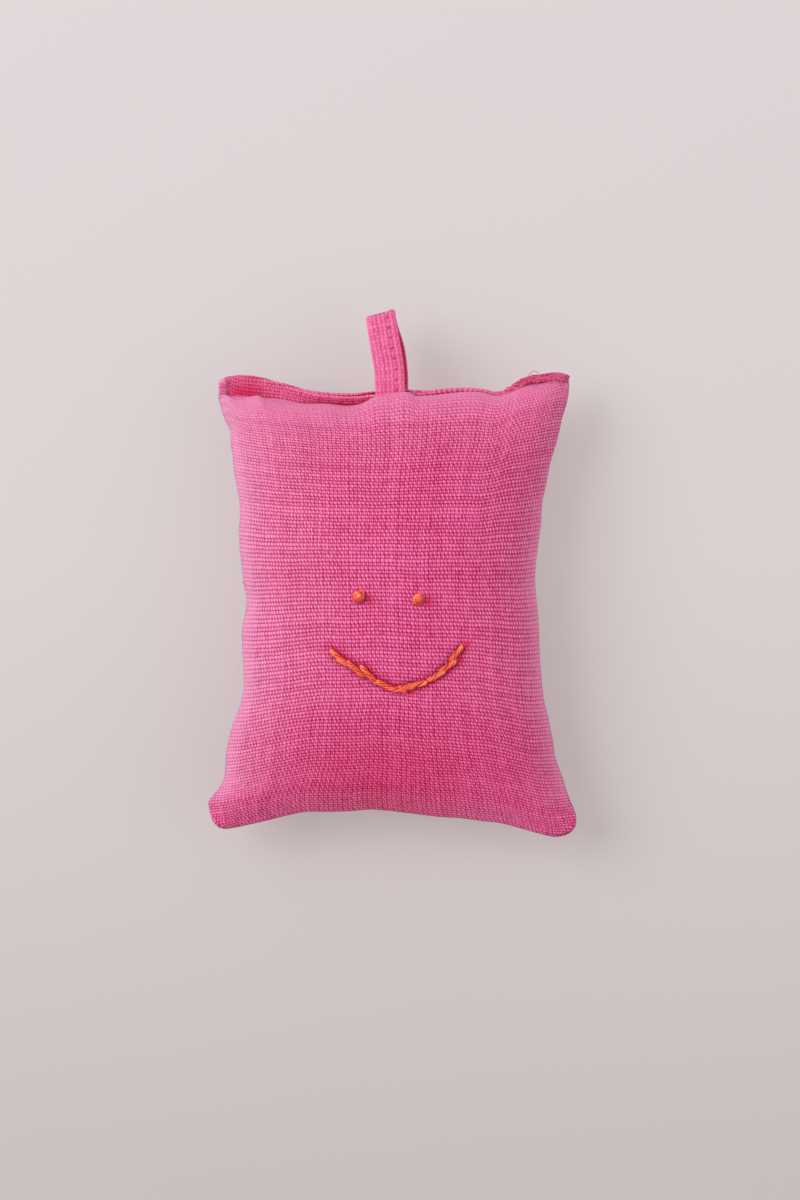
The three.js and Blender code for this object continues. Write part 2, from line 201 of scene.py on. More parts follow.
lip_tilts = (20, 14, 12, 14, 24, 35, 45, 50, 45, 25, 18, 18, 22, 30, 35, 45, 62, 82, 86)
lip_widths = (4.0, 4.8, 4.8, 4.4, 3.7, 3.2, 3.2, 3.2, 3.2, 3.2, 3.2, 3.2, 3.0, 2.4, 2.25, 2.25, 2.1, 2.9, 3.2)
lip_openings = (0.2, 0.2, 0.1, 0, 0, 0, 0, 0, 0.1, 0.5, 1.0, 1.0, 0.5, 0.1, 0, 0, 0, 0, 0)
# How much painted shade the lip has at each station.
lip_shade_levels = (0.2, 1.0, 1.0, 0.6, 0.3, 0.2, 0.6, 0.9, 1.0, 1.0, 0.6, 0.6, 0.6, 0.5, 0.4, 0.6, 1.0, 1.0, 0.8)
lip_end = 0.003
lip_end_narrowing = 0.35
lip_root = 0.005
closing_inset = 0.0014
gape_depth = 0.0008
gape_exponent = 0.7
loop_opening = 0.006
loop_opening_exponent = 0.3
overhang_stations = (-39, -37.3, -36, -34.9, -33, -31.4, -30, -28.3, -26, -14, -9.6, -6.3,
                     -3.9, 0, 3.5, 5.5, 8, 24, 28, 31, 35, 37, 38.5, 41)
overhangs = (1.4, 1.3, 0.5, 0, 0.2, 0.8, 1.4, 0.8, 0.3, 1.1, 0.8, 1.8,
             3.3, 3.7, 4.0, 2.8, 2.5, 2.3, 1.4, 0.6, 0.7, 1.3, 1.8, 1.8)
overhang_reach = 0.003
folded_in = 0.004
tucked_in = 0.0016
tuck_rise = 0.001
tuck_span = (0.03, 0.04)
pucker_height = 0.00016
pucker_pitch = 0.0036
pucker_reach = 0.0025
pucker_drift = 2.5
pucker_drift_rate = 160
frayed_from = 0.023
fraying = 0.00009


def curve_through(places, stations, values):
    """Smooth curves through values at stations, read at places, along the first axis."""
    stations, values = np.asarray(stations, float), np.asarray(values, float)
    shape = (-1,) + (1,) * (values.ndim - 1)
    slopes = np.gradient(values, stations, axis=0)
    low = np.clip(np.searchsorted(stations, places, "right") - 1, 0, len(stations) - 2)
    span = (stations[low + 1] - stations[low]).reshape(shape)
    t = (places - stations[low]).reshape(shape) / span
    return ((1 + 2 * t) * (1 - t) ** 2 * values[low] + t * (1 - t) ** 2 * span * slopes[low]
            + t * t * (3 - 2 * t) * values[low + 1] + t * t * (t - 1) * span * slopes[low + 1])


def refined(rows):
    """The same surface with grid_per_cell times as many points each way."""
    for _ in range(2):
        n = len(rows) - 1
        rows = curve_through(np.linspace(0, n, n * grid_per_cell + 1), np.arange(n + 1), rows).swapaxes(0, 1)
    return rows


def unit(vectors):
    return vectors / np.maximum(np.linalg.norm(vectors, axis=-1, keepdims=True), 1e-12)


across_share, along_share = share_grid(grid_per_cell)
flat_places = np.stack(flat_cut(across_share, along_share), axis=-1)
side_distance = (1 - np.abs(across_share)) * cut_width_top / 2
end_distance = (1 - np.abs(along_share)) * cut_length / 2
upper_half = along_share > 0


def bulge(distance, reach):
    """What is nothing at an edge, is whole a reach away from it, and dies out further in."""
    return distance / reach * np.exp(1 - distance / reach)


def drawn(rows):
    """The swollen case moved to the outline that its seams give it."""
    def moved(places, draws, share):
        return curve_through(places, np.linspace(-1, 1, len(draws)), np.array(draws) / 1000) * share

    rows = rows.copy()
    sides = (1 - across_share) / 2, (1 + across_share) / 2
    for share, dents in zip(sides, (left_dents, right_dents)):
        rows[..., 0] += np.interp(rows[..., 1], *np.array(dents).T / 1000) * share ** dent_exponent
    for share, draws in zip(sides, (left_draw, right_draw)):
        rows[..., 0] += moved(along_share[0], draws, share)
    top = curve_through(rows[:, -1, 0], *np.array(closing_line).T / 1000) - rows[:, -1, 1]
    rows[..., 1] += top[:, None] * ((1 + along_share) / 2) ** closing_exponent
    rows[..., 1] += moved(across_share[:, 0], bottom_draw, ((1 - along_share.T) / 2) ** bottom_exponent).T
    return rows


def eased(rows):
    """The swollen case without its small creases, which such thick cloth doesn't keep."""
    rows = rows.copy()
    for n in range(flat_easing):
        axes = rows[..., :3 if n < easing else 2]
        axes[1:-1] = (axes[:-2] + 2 * axes[1:-1] + axes[2:]) / 4
        axes[:, 1:-1] = (axes[:, :-2] + 2 * axes[:, 1:-1] + axes[:, 2:]) / 4
    return rows


front_skin, back_skin = (drawn(refined(rows)) for rows in (eased(front_rows), back_rows))
plump = corner_plumpness * np.exp(-(np.hypot(side_distance, end_distance) / corner_reach) ** 2) * (
    1 - np.exp(-np.minimum(side_distance, end_distance) / edge_reach))
front_skin[..., 2] = np.hypot(front_skin[..., 2] * crown_rise, plump)
for axis, distance in ((1, side_distance), (0, end_distance + upper_half)):
    run = flat_places[..., axis]
    sway = np.cos(2 * np.pi * run / pucker_pitch + pucker_drift * np.sin(run * pucker_drift_rate))
    front_skin[..., 2] += pucker_height * sway * bulge(distance, pucker_reach)
over_lip = curve_through(front_skin[:, -1, 0] * 1000, overhang_stations, overhangs)[:, None] / 1000
front_skin[..., 1] += over_lip * upper_half * bulge(end_distance, overhang_reach) * (
    1 - np.exp(-side_distance / edge_reach))
back_depth = np.hypot(back_skin[..., 2] * crown_rise, plump)
sunk = np.maximum(back_depth - (rest_depth - settling), 0)
back_skin[..., 2] = -(back_depth - sunk + settling * np.tanh(sunk / settling))


def rolled(rim, inward, side):
    """Rows of points from a seam's rim round its rolled edge into the case, of the front (1) or back (-1)."""
    turn = np.radians((30, 60, 90, 90))
    reach = np.append(seam_roll * np.sin(turn[:-1]), turned_in)
    return np.array([rim + np.multiply(inward, r) + (0, 0, side * seam_roll * (1 - np.cos(t)))
                     for r, t in zip(reach, turn)])


def lip_frames(rim):
    """Along the top rim: the way out on the lip, its facing, its width and how far its folds stand apart."""
    run = unit(np.gradient(rim, axis=0))
    out = np.stack((-run[:, 1], run[:, 0], 0 * run[:, 0]), axis=-1)
    x = rim[:, :1]
    tilt = np.radians(curve_through(x[:, 0] * 1000, lip_stations, lip_tilts))[:, None]
    opening, width = (np.interp(x * 1000, lip_stations, sizes) / 1000 for sizes in (lip_openings, lip_widths))
    inside = np.clip(np.minimum(x - x[0], x[-1] - x) / lip_end, 0, 1)
    width = width * np.sqrt(1 - (1 - inside) ** 3 * lip_end_narrowing)
    up = np.array((0, 0, 1))
    return np.cos(tilt) * out + np.sin(tilt) * up, np.cos(tilt) * up - np.sin(tilt) * out, width, opening


def loop_spread(rim):
    """How much of the folds' opening goes all the way down the lip, as it does over the loop."""
    return np.clip(1 - np.abs(rim[:, :1]) / loop_opening, 0, 1) ** loop_opening_exponent


def lip_rows(rim, side):
    """A lip's steps out from the rim, round its fold and back into the case, and the cloth that they take."""
    out, facing, width, opening = lip_frames(rim)
    facing = facing * side
    inner = cloth_thickness / 2 + seam_gap
    fold = (lip_layer - inner) / 2
    spread = loop_spread(rim)

    def gape(share):
        beyond = np.clip(1 - (1 - share) * width / gape_depth, 0, 1)
        return opening * (spread + (1 - spread) * beyond ** gape_exponent)

    rows = [((width - fold) * share, lip_layer + gape(share)) for share in np.linspace(0, 1, 9)]
    rows += [(width - fold + fold * np.sin(turn), inner + fold + fold * np.cos(turn) + gape(1))
             for turn in np.radians((30, 60, 90, 120, 150, 180))]
    rows += [((width - fold) * share, inner + gape(share)) for share in (0.85, 0.7, 0.5, 0.3, 0.1)]
    frayed = np.clip((rim[:, :1] - frayed_from) / lip_end, 0, 1) * fraying
    chance = np.random.default_rng(4 + side)
    steps = [out * (reach + frayed * chance.normal(size=reach.shape) * (row > 4)) + facing * (
        layer + frayed * chance.uniform(0, 1.5, reach.shape) * (row > 1))
        for row, (reach, layer) in enumerate(rows)]
    tuck = np.interp(np.abs(rim[:, :1]), tuck_span, (0, 1))
    aside = -np.sign(rim[:, :1]) * tucked_in * tuck
    steps.append(np.concatenate((aside, tuck * tuck_rise - folded_in, 0 * tuck + side * inner), axis=1))
    steps = np.stack(steps, axis=1)
    return steps[:, 1:], np.cumsum(np.linalg.norm(np.diff(steps, axis=1), axis=-1), axis=1)


# Painted shade in the seam's groove: a little on each row round the rolled edge, more on the cloth turned in
# beyond it.
rolled_edge_shades = (0.1, 0.2, 0.3, 0.35)
turned_under_shade = 0.45
# Painted shade on the lip: by row round its fold, in ticks between crossing threads, and over its raw right
# end.
fold_shade_levels = ((0, 0.4), (2, 1), (6, 0.55), (8.5, 0.1), (12.5, 0.2), (14, 1))
outer_rows = 13
tick_rows = (3, 11)
crossing_ticks = 0.75
raw_span = (0.025, 0.030, 0.036, 0.0375)
lip_wrap = (0.0009, 0.0017)
wrapped_closed = 0.6
lip_sheen_share = 0.6
lip_closed = 0.3
# Painted shade on the lower middle of the front, which faces down and away from the light.
shade_patch_middle = (-0.001, -0.039)
shade_patch_reach = (0.022, 0.011)
shade_patch_most = 0.55
open_corner = (0.004, 0.014)
# Painted sheen: how much the cloth is paled near its left, right and top edges, and how far in.
sheen_left, sheen_right, sheen_top = (0.95, 0.010), (0.7, 0.004), (0.75, 0.008)
closed_top, closed_sides = (0.85, 0.0085), (0.5, 0.0045)
shade_over_sheen = 0.8


def near(distance, amount, power=1):
    """How much of a look there is at a distance from an edge, for its most and its reach."""
    return amount[0] * np.exp(-(distance / amount[1]) ** power)


# Painted sheen: paler towards the left, right and top edges, where the window's light glances off the cloth.
left_distance = (1 + across_share) * cut_width_top / 2
corner_open = np.interp((1 + along_share) * cut_length / 2, open_corner, (0, 1))
even = np.where(across_share > 0, np.clip(1.2 - 1.5 * along_share, 0, 1), 1) * corner_open
case_painted_sheen = 1 - (1 - corner_open * near(left_distance, sheen_left)) * (
    1 - even * near(cut_width_top - left_distance, sheen_right)) * (
    1 - upper_half * near(end_distance, sheen_top))
case_closed = np.maximum(
    upper_half * near(end_distance, closed_top, 2), even * near(side_distance, closed_sides, 2))


def lip_painted_shade(rim, wrapped, count):
    """Painted shade on the lip's rows: by their place along it and round its folds, in ticks where threads
    cross, and blotched where it is raw.
    """
    columns, rows = np.indices((len(rim), count))
    recess = np.interp(rim[:, :1] * 1000, lip_stations, lip_shade_levels)
    recess = recess * np.interp(rows + 1, *zip(*fold_shade_levels))
    ticks = crossing_ticks * ((columns + rows // 3) % 2) * (rows > tick_rows[0]) * (rows < tick_rows[1])
    ticks = ticks * (1 - loop_spread(rim)) * np.random.default_rng(9).uniform(0.5, 1, (len(rim), 1))
    raw = np.random.default_rng(12).uniform(0.35, 1, recess.shape)
    raw = raw * np.interp(rim[:, :1], raw_span, (0, 1, 1, 0))
    recess = np.maximum(np.maximum(recess, ticks), raw) * (1 - wrapped)
    return np.where(rows < outer_rows, recess, 1)


def panel_middle(skin, side):
    """A panel's middle surface with its rolled edges and lip, its place in the flat, and its looks there."""
    rim = skin[:, -1]
    out, facing, width, opening = lip_frames(rim)
    steps, lengths = lip_rows(rim, side)
    near_lip = np.clip(1 - end_distance / lip_root, 0, 1) ** 2 * upper_half
    near_seam = np.clip(
        1 - np.minimum(side_distance, np.where(upper_half, 1, end_distance)) / seam_root, 0, 1)
    skin = skin + near_lip[..., None] * (facing * side * (lip_layer + opening * loop_spread(rim)))[:, None]
    skin[..., 2] += side * (cloth_thickness / 2 + seam_gap + seam_roll) * near_seam
    middle = np.concatenate((skin, rim[:, None] + steps), axis=1)
    lengths = np.stack((0 * lengths, lengths), axis=-1)
    flat = np.concatenate((flat_places, flat_places[:, -1:] + lengths), axis=1)
    turned = np.linspace(*turned_in_flat, len(rolled_edge_shades))
    down, aside = turned[:, None] * (0, 1), turned[:, None, None] * (1, 0)
    middle = np.concatenate((rolled(middle[:, 0], (0, 1, 0), side)[::-1].swapaxes(0, 1), middle), axis=1)
    flat = np.concatenate((flat[:, :1] - down[::-1], flat), axis=1)
    middle = np.concatenate((
        rolled(middle[0], (1, 0, 0), side)[::-1], middle, rolled(middle[-1], (-1, 0, 0), side)))
    flat = np.concatenate((flat[:1] - aside[::-1], flat, flat[-1:] + aside))

    rolls, folds = len(turned), steps.shape[1]
    margins = ((rolls, rolls), (rolls, folds))
    wrapped = np.interp(rim[:, :1] - rim[0, 0], lip_wrap, (1, 0))
    # Painted shade on the front's lower middle.
    extra_shade = shade_patch_most * (side > 0) * np.exp(-np.sum(((skin[..., :2] - shade_patch_middle) / shade_patch_reach) ** 2, axis=-1))
    recess = np.pad(np.concatenate((extra_shade, lip_painted_shade(rim, wrapped, folds)), axis=1),
                    ((rolls, rolls), (rolls, 0)), constant_values=turned_under_shade)
    for n, share in enumerate(rolled_edge_shades):
        recess[rolls - 1 - n] = recess[n - rolls] = recess[:, rolls - 1 - n] = share
    wrapped = np.pad(wrapped, ((rolls, rolls), (0, 0)), mode="edge")
    closed = np.pad(case_closed, margins, constant_values=lip_closed)
    closed[:, -folds:] = np.maximum(closed[:, -folds:], wrapped_closed * wrapped)
    # Painted sheen, less on the lip except at its wrapped left end, and less where there is painted shade.
    faded = np.pad(case_painted_sheen, margins, mode="edge")
    faded[:, -folds:] = np.maximum(faded[:, -folds:] * lip_sheen_share, sheen_left[0] * wrapped)
    faded = faded * (1 - shade_over_sheen * recess)
    return middle + (0, 0, seam_plane), flat, {"recess": recess, "closed": closed, "faded": faded}


def point_values(mesh, name, numbers):
    mesh.attributes.new(name, "FLOAT", "POINT").data.foreach_set("value", np.ravel(numbers))


def cloth_solid(name, middle, flat, looks, side):
    """A closed piece of cloth round its middle surface, with its place in the flat as its UV map."""
    facing = unit(np.cross(np.gradient(middle, axis=0), np.gradient(middle, axis=1))) * side
    outer = np.arange(middle[..., 0].size).reshape(middle.shape[:2])
    inner = outer + outer.size
    quads = [quads_of(outer), quads_of(inner)[:, ::-1]]
    for walk in (np.s_[:, 0], np.s_[-1, :], np.s_[::-1, -1], np.s_[0, ::-1]):
        quads.append(quads_of(np.stack((outer[walk], inner[walk]))))
    quads = np.concatenate(quads)[:, ::side]
    half = facing * cloth_thickness / 2
    mesh = smooth_mesh(name, (middle + half, middle - half), quads.tolist())
    flat = np.tile(flat.reshape(-1, 2), (2, 1))
    mesh.uv_layers.new(name="flat").data.foreach_set("uv", flat[quads.ravel()].ravel())
    for look, numbers in looks.items():
        point_values(mesh, look, (numbers, numbers))
    return placed(name, mesh)


class Socket:
    """An output of a node, on which sums are written as Python writes them."""

    def __init__(self, tree, output=None):
        self.tree, self.output = tree, output

    def node(self, kind, settings=None, inputs=None, output=0):
        made = self.tree.nodes.new(kind)
        for name, value in (settings or {}).items():
            if name == "stops":
                ramp = made.color_ramp.elements
                while len(ramp) < len(value):
                    ramp.new(0.5)
                for stop, (place, colour) in zip(ramp, value):
                    stop.position, stop.color = place, (*colour, 1)
            else:
                setattr(made, name, value)
        for name, value in (inputs or {}).items():
            if isinstance(value, Socket):
                self.tree.links.new(value.output, made.inputs[name])
            else:
                made.inputs[name].default_value = value
        return Socket(self.tree, made.outputs[output])

    def math(self, operation, *values):
        return self.node("ShaderNodeMath", {"operation": operation}, dict(enumerate(values)))

    def vector(self, x=0, y=0, z=0):
        return self.node("ShaderNodeCombineXYZ", {}, {0: x, 1: y, 2: z})

    def noise(self, place, scale, detail, dimensions="3D", output=0):
        return self.node("ShaderNodeTexNoise", {"noise_dimensions": dimensions}, {
            "Vector": place, "Scale": scale, "Detail": detail}, output)

    def grain(self, scale):
        return self.noise(self.node("ShaderNodeTexCoord", output=3), scale, 2)

    def look(self, name):
        return self.node("ShaderNodeAttribute", {"attribute_name": name}, output=2)

    def between(self, first, second, blend="MIX"):
        first, second = (side if isinstance(side, Socket) else (*side, 1) for side in (first, second))
        return self.node("ShaderNodeMix", {"data_type": "RGBA", "blend_type": blend}, {
            0: self, 6: first, 7: second}, 2)

    def feed(self, name):
        self.tree.links.new(self.output, self.tree.nodes["Principled BSDF"].inputs[name])

    def relief(self, strength, depth):
        bump = self.node("ShaderNodeBump", {}, {"Strength": strength, "Distance": depth, "Height": self})
        bump.feed("Normal")


for sign, operation in (("add", "ADD"), ("sub", "SUBTRACT"), ("mul", "MULTIPLY"), ("truediv", "DIVIDE")):
    setattr(Socket, f"__{sign}__", lambda one, other, operation=operation: one.math(operation, one, other))
    setattr(Socket, f"__r{sign}__", lambda one, other, operation=operation: one.math(operation, other, one))


def new_finish(name, constants):
    """A material with constants for its surface, and the Socket from which its pattern is built."""
    finish = bpy.data.materials.new(name)
    finish.use_nodes = True
    for constant, value in constants.items():
        finish.node_tree.nodes["Principled BSDF"].inputs[constant].default_value = value
    return finish, Socket(finish.node_tree)


warp_pitch = 0.00046
weft_pitch = 0.00079
drift_scale = 110
drift = 0.0004
mottle_scale = 45
weave_relief = 0.00012
# Over the cotton's rose: painted shade in the holes and valleys between threads, and a painted highlight on
# the raised floats.
hole_shade_crimson = (0.26, 0.0002, 0.040)
valley_shade_crimson = (0.44, 0.002, 0.088)
thread_rose = (0.73, 0.046, 0.208)
float_lit_pink = (0.91, 0.265, 0.52)
# The deep crimson towards which painted shade multiplies the cloth's colour.
painted_shade_tint = (0.82, 0.12, 0.32)
closed_tone = 0.64
sheen_pink = (0.86, 0.42, 0.64)
cotton = {
    "Roughness": 0.54, "Specular IOR Level": 0.24, "Subsurface Weight": 0.35, "Subsurface Scale": 1.0,
    "Subsurface Radius": (0.0009, 0.0001, 0.0003), "Sheen Weight": 0.1, "Sheen Roughness": 0.3,
    "Sheen Tint": (1.0, 0.80, 0.91, 1)}


def woven_cotton(name, openness=1.0, pairing=0.10, weft_cover=0.28, warp_level=0.28, warp_swing=0.46):
    """Plain weave in its map's metres: thin warp over and under thick weft, open where they cross."""
    finish, start = new_finish(name, cotton)
    flat = start.node("ShaderNodeUVMap", {"uv_map": "flat"})
    shift = start.noise(flat, drift_scale, 2, "2D", 1)
    shift = start.node("ShaderNodeVectorMath", {"operation": "SUBTRACT"}, {0: shift, 1: (0.5, 0.5, 0.5)})
    shift = start.node("ShaderNodeVectorMath", {"operation": "SCALE"}, {0: shift, "Scale": drift})
    threads = start.node("ShaderNodeVectorMath", {}, {0: flat, 1: shift})
    across = start.node("ShaderNodeSeparateXYZ", {}, {0: threads}, 0) / warp_pitch
    along = start.node("ShaderNodeSeparateXYZ", {}, {0: threads}, 1) / weft_pitch
    warp, weft = start.math("FLOOR", across), start.math("FLOOR", along)
    off_warp, off_weft = across - warp - 0.5, along - weft - 0.5

    def other(number):
        return 1 - 2 * start.math("FLOORED_MODULO", number, 2)

    def shade_of(thread, seed):
        return start.node("ShaderNodeTexWhiteNoise", {"noise_dimensions": "1D"}, {"W": thread + seed})

    def slub(thread, run, seed):
        return start.noise(start.vector(thread * 7.3 + seed, run * 0.11), 1, 1, "2D")

    def roundness(off, half):
        return start.math("SQRT", start.math("MAXIMUM", 1 - start.math("POWER", off / half, 2), 0))

    over, even = other(warp + weft), other(warp)
    wander = 0.4 * (slub(warp, along * 3, 17.9) - 0.5)
    off_warp = off_warp - even * (pairing + (0.21 - pairing) * start.math("COSINE", along * np.pi)) - wander
    warp_round = roundness(off_warp, 0.23 + 0.16 * slub(warp, along, 3.1) + 0.03 * even)
    weft_round = roundness(off_weft, weft_cover + 0.16 * slub(weft, across, 40.7))
    warp_lift = over * start.math("POWER", start.math("COSINE", off_weft * np.pi), 0.8)
    weft_lift = 0 - over * start.math("COSINE", off_warp * np.pi)
    each = start.node("ShaderNodeTexWhiteNoise", {"noise_dimensions": "2D"}, {
        "Vector": start.vector(warp, weft)}) - 0.5
    warp_height = start.math("GREATER_THAN", warp_round, 0.01) * (
        warp_level + 0.18 * warp_round + warp_swing * warp_lift + 0.2 * each)
    weft_height = start.math("GREATER_THAN", weft_round, 0.01) * (
        0.30 + 0.16 * weft_round + 0.16 * weft_lift + 0.14 * each)
    height = start.math("MAXIMUM", warp_height, weft_height)
    mottle = start.noise(flat, mottle_scale, 3, "2D")
    tone = height + 0.08 * (shade_of(warp, 0.5) + shade_of(weft, 91.5) - 1) + 0.14 * (mottle - 0.5)
    tone = closed_tone + (tone - closed_tone) * openness * (1 - start.look("closed"))
    # Colour by thread height: painted shade low down, painted highlight on top.
    colour = start.node("ShaderNodeValToRGB", {"stops": (
        (0.0, hole_shade_crimson), (0.28, valley_shade_crimson), (0.50, thread_rose), (0.90, float_lit_pink))}, {0: tone})
    # Painted sheen: paled towards a light pink, more on the raised threads.
    colour = (start.look("faded") * start.math("MULTIPLY_ADD", tone, 1.3, -0.1)).between(colour, sheen_pink)
    # Painted shade: the colour is multiplied towards that crimson by the recess attribute.
    start.look("recess").between(colour, painted_shade_tint, "MULTIPLY").feed("Base Color")
    height.relief(0.8, weave_relief)
    return finish


rose_cotton = woven_cotton("rose_cotton")
front_panel = cloth_solid("front_panel_cloth", *panel_middle(front_skin, 1), 1)
back_panel = cloth_solid("back_panel_cloth", *panel_middle(back_skin, -1), -1)
for panel, node in ((front_panel, "front_panel"), (back_panel, "back_panel")):
    panel.data.materials.append(rose_cotton)
    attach(panel, "sachet")
    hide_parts(node)

# ---- The lavender ----
# Dried lavender flowers, loose in the case and pressed against the cloth from inside. Buds of about
# 3 mm cover the outside of the heap, which is all that could ever be seen of it.
import bmesh

heap_inset = 0.0018
heap_narrowing = (0.97, 0.97)
heap_weld = 0.00005
bud_length = 0.0030
bud_width = 0.0015
buds_per_area = 160000
bud_scale = 420
whole_turn = (6.3, 6.3, 6.3)
bud_colours = ((0.32, (0.09, 0.08, 0.05)), (0.5, (0.16, 0.15, 0.26)), (0.7, (0.29, 0.27, 0.44)))


def node_tree(name, sizes):
    """A Geometry Nodes tree with named sizes, its start to build on and a function that closes it."""
    tree = bpy.data.node_groups.new(name, "GeometryNodeTree")
    for way in ("INPUT", "OUTPUT"):
        tree.interface.new_socket("Geometry", in_out=way, socket_type="NodeSocketGeometry")
    for size in sizes:
        tree.interface.new_socket(size, in_out="INPUT", socket_type="NodeSocketFloat")
    given = tree.nodes.new("NodeGroupInput")
    inputs = {out.name: Socket(tree, out) for out in given.outputs if out.name}

    def close(geometry, finish):
        whole = geometry.node("GeometryNodeRealizeInstances", {}, {"Geometry": geometry})
        done = whole.node("GeometryNodeSetMaterial", {}, {"Geometry": whole, "Material": finish})
        last = tree.nodes.new("NodeGroupOutput")
        tree.links.new(done.output, last.inputs["Geometry"])
        return tree

    return inputs, close


def grown(name, source, tree, sizes):
    """The plain mesh that a tree makes of a source object, which it takes the place of."""
    growth = source.modifiers.new("growth", "NODES")
    growth.node_group = tree
    for item in tree.interface.items_tree:
        if item.in_out == "INPUT" and item.name in sizes:
            growth[item.identifier] = sizes[item.name]
    made = source.evaluated_get(bpy.context.evaluated_depsgraph_get())
    mesh = bpy.data.meshes.new_from_object(made)
    mesh.name = name
    bpy.data.objects.remove(source)
    mesh.polygons.foreach_set("use_smooth", [True] * len(mesh.polygons))
    return placed(name, mesh)


def heap_skin():
    """The heap's outside, a little way in from both panels."""
    front, back = (skin[4:-4:4, 4:-4:4] * (*heap_narrowing, 1) for skin in (front_skin, back_skin))
    front[..., 2] = seam_plane + np.maximum(front[..., 2] - heap_inset, 0)
    back[..., 2] = seam_plane + np.minimum(back[..., 2] + heap_inset, 0)
    for rim in (np.s_[0], np.s_[-1], np.s_[:, 0], np.s_[:, -1]):
        back[rim] = front[rim] = (front[rim] + back[rim]) / 2
    count = front[..., 0].size
    quads = quads_of(np.arange(count).reshape(front.shape[:2]))
    mesh = smooth_mesh("heap", (front, back), quads.tolist() + (quads[:, ::-1] + count).tolist())
    shell = bmesh.new()
    shell.from_mesh(mesh)
    bmesh.ops.remove_doubles(shell, verts=shell.verts, dist=heap_weld)
    shell.to_mesh(mesh)
    shell.free()
    return placed("heap", mesh)


def strewn_buds(finish):
    """The tree that strews buds over the heap, each turned its own way."""
    sizes, close = node_tree("buds on a heap", ("Bud length", "Bud width", "Buds per area"))
    heap = sizes["Geometry"]
    spots = heap.node("GeometryNodeDistributePointsOnFaces", {}, {
        "Mesh": heap, "Density": sizes["Buds per area"], "Seed": 4})
    turns = heap.node("FunctionNodeRandomValue", {"data_type": "FLOAT_VECTOR"}, {1: whole_turn, "Seed": 7})
    bud = heap.node("GeometryNodeMeshUVSphere", {}, {"Segments": 6, "Rings": 4, "Radius": 0.5})
    scale = heap.vector(sizes["Bud width"], sizes["Bud width"], sizes["Bud length"])
    buds = heap.node("GeometryNodeInstanceOnPoints", {}, {
        "Points": spots, "Instance": bud, "Rotation": turns, "Scale": scale})
    both = heap.node("GeometryNodeJoinGeometry")
    for part in (heap, buds):
        both.tree.links.new(part.output, both.output.node.inputs[0])
    return close(both, finish)


lavender_buds, start = new_finish("lavender_buds", {"Roughness": 0.9})
start.node("ShaderNodeValToRGB", {"stops": bud_colours}, {0: start.grain(bud_scale)}).feed("Base Color")
lavender = grown("lavender_heap", heap_skin(), strewn_buds(lavender_buds), {
    "Bud length": bud_length, "Bud width": bud_width, "Buds per area": buds_per_area})
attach(lavender, "sachet")
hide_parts("lavender_filling")

# ---- The sewn seam ----
# A row of machine stitches of rose thread joins the panels along both sides and the bottom, just inside the
# turned edge. From outside it shows only as short bars deep in the groove between the two rolled edges.
seam_stitch = 0.0024
seam_thread_width = 0.00024
seam_depth = 0.00055
seam_thread_lift = 0.00012
stitch_span = 0.8
fibre_scale = 2600
fibre_relief = 0.0001
sewing_rose = (0.86, 0.15, 0.36)
sewing_shade = (0.58, 0.02, 0.12)


def thread_finish(name, constants):
    """Spun thread with its fibres in relief, and the tone of those fibres."""
    finish, start = new_finish(name, constants)
    fibres = start.grain(fibre_scale)
    fibres.relief(0.5, fibre_relief)
    return finish, fibres


def arched_stitches(finish):
    """The tree that lays stitches end to end along a line, each an arch that dives at both ends."""
    sizes, close = node_tree("stitches along a line", ("Stitch", "Span", "Thread width", "Rise"))
    line = sizes["Geometry"].node("GeometryNodeMeshToCurve", {}, {"Mesh": sizes["Geometry"]})
    dots = line.node("GeometryNodeResampleCurve", {"mode": "LENGTH"}, {
        "Curve": line, "Length": sizes["Stitch"]})
    turn = line.node("FunctionNodeAlignRotationToVector", {"axis": "X"}, {
        "Vector": line.node("GeometryNodeInputTangent")})
    facing = line.node("GeometryNodeInputNamedAttribute", {"data_type": "FLOAT_VECTOR"}, {"Name": "facing"})
    turn = line.node("FunctionNodeAlignRotationToVector", {"axis": "Z", "pivot_axis": "X"}, {
        "Rotation": turn, "Vector": facing})
    half, dive = sizes["Stitch"] * sizes["Span"] * 0.5, 0 - sizes["Thread width"]
    arch = line.node("GeometryNodeCurveQuadraticBezier", {}, {
        "Resolution": 7, "Start": line.vector(0 - half, 0, dive),
        "Middle": line.vector(0, 0, sizes["Rise"]), "End": line.vector(half, 0, dive)})
    round_thread = line.node("GeometryNodeCurvePrimitiveCircle", {}, {
        "Resolution": 7, "Radius": sizes["Thread width"] * 0.5})
    stitch = line.node("GeometryNodeCurveToMesh", {}, {
        "Curve": arch, "Profile Curve": round_thread, "Fill Caps": True})
    return close(line.node("GeometryNodeInstanceOnPoints", {}, {
        "Points": dots, "Instance": stitch, "Rotation": turn}), finish)


sewing_thread, fibres = thread_finish("rose_sewing_thread", {"Roughness": 0.7, "Sheen Weight": 0.3})
fibres.between(sewing_shade, sewing_rose).feed("Base Color")
stitch_tree = arched_stitches(sewing_thread)


def stitches(name, points, facings, stitch, rise=2 * seam_thread_width, span=stitch_span):
    """A row of stitches through points of the cloth, which faces the given way at each."""
    path = smooth_mesh("stitch line", points, [], [(i, i + 1) for i in range(len(points) - 1)])
    facing = path.attributes.new("facing", "FLOAT_VECTOR", "POINT")
    facing.data.foreach_set("vector", np.asarray(facings, dtype=np.float32).ravel())
    return grown(name, placed("stitch line", path), stitch_tree, {
        "Stitch": stitch, "Span": span, "Thread width": seam_thread_width, "Rise": rise})


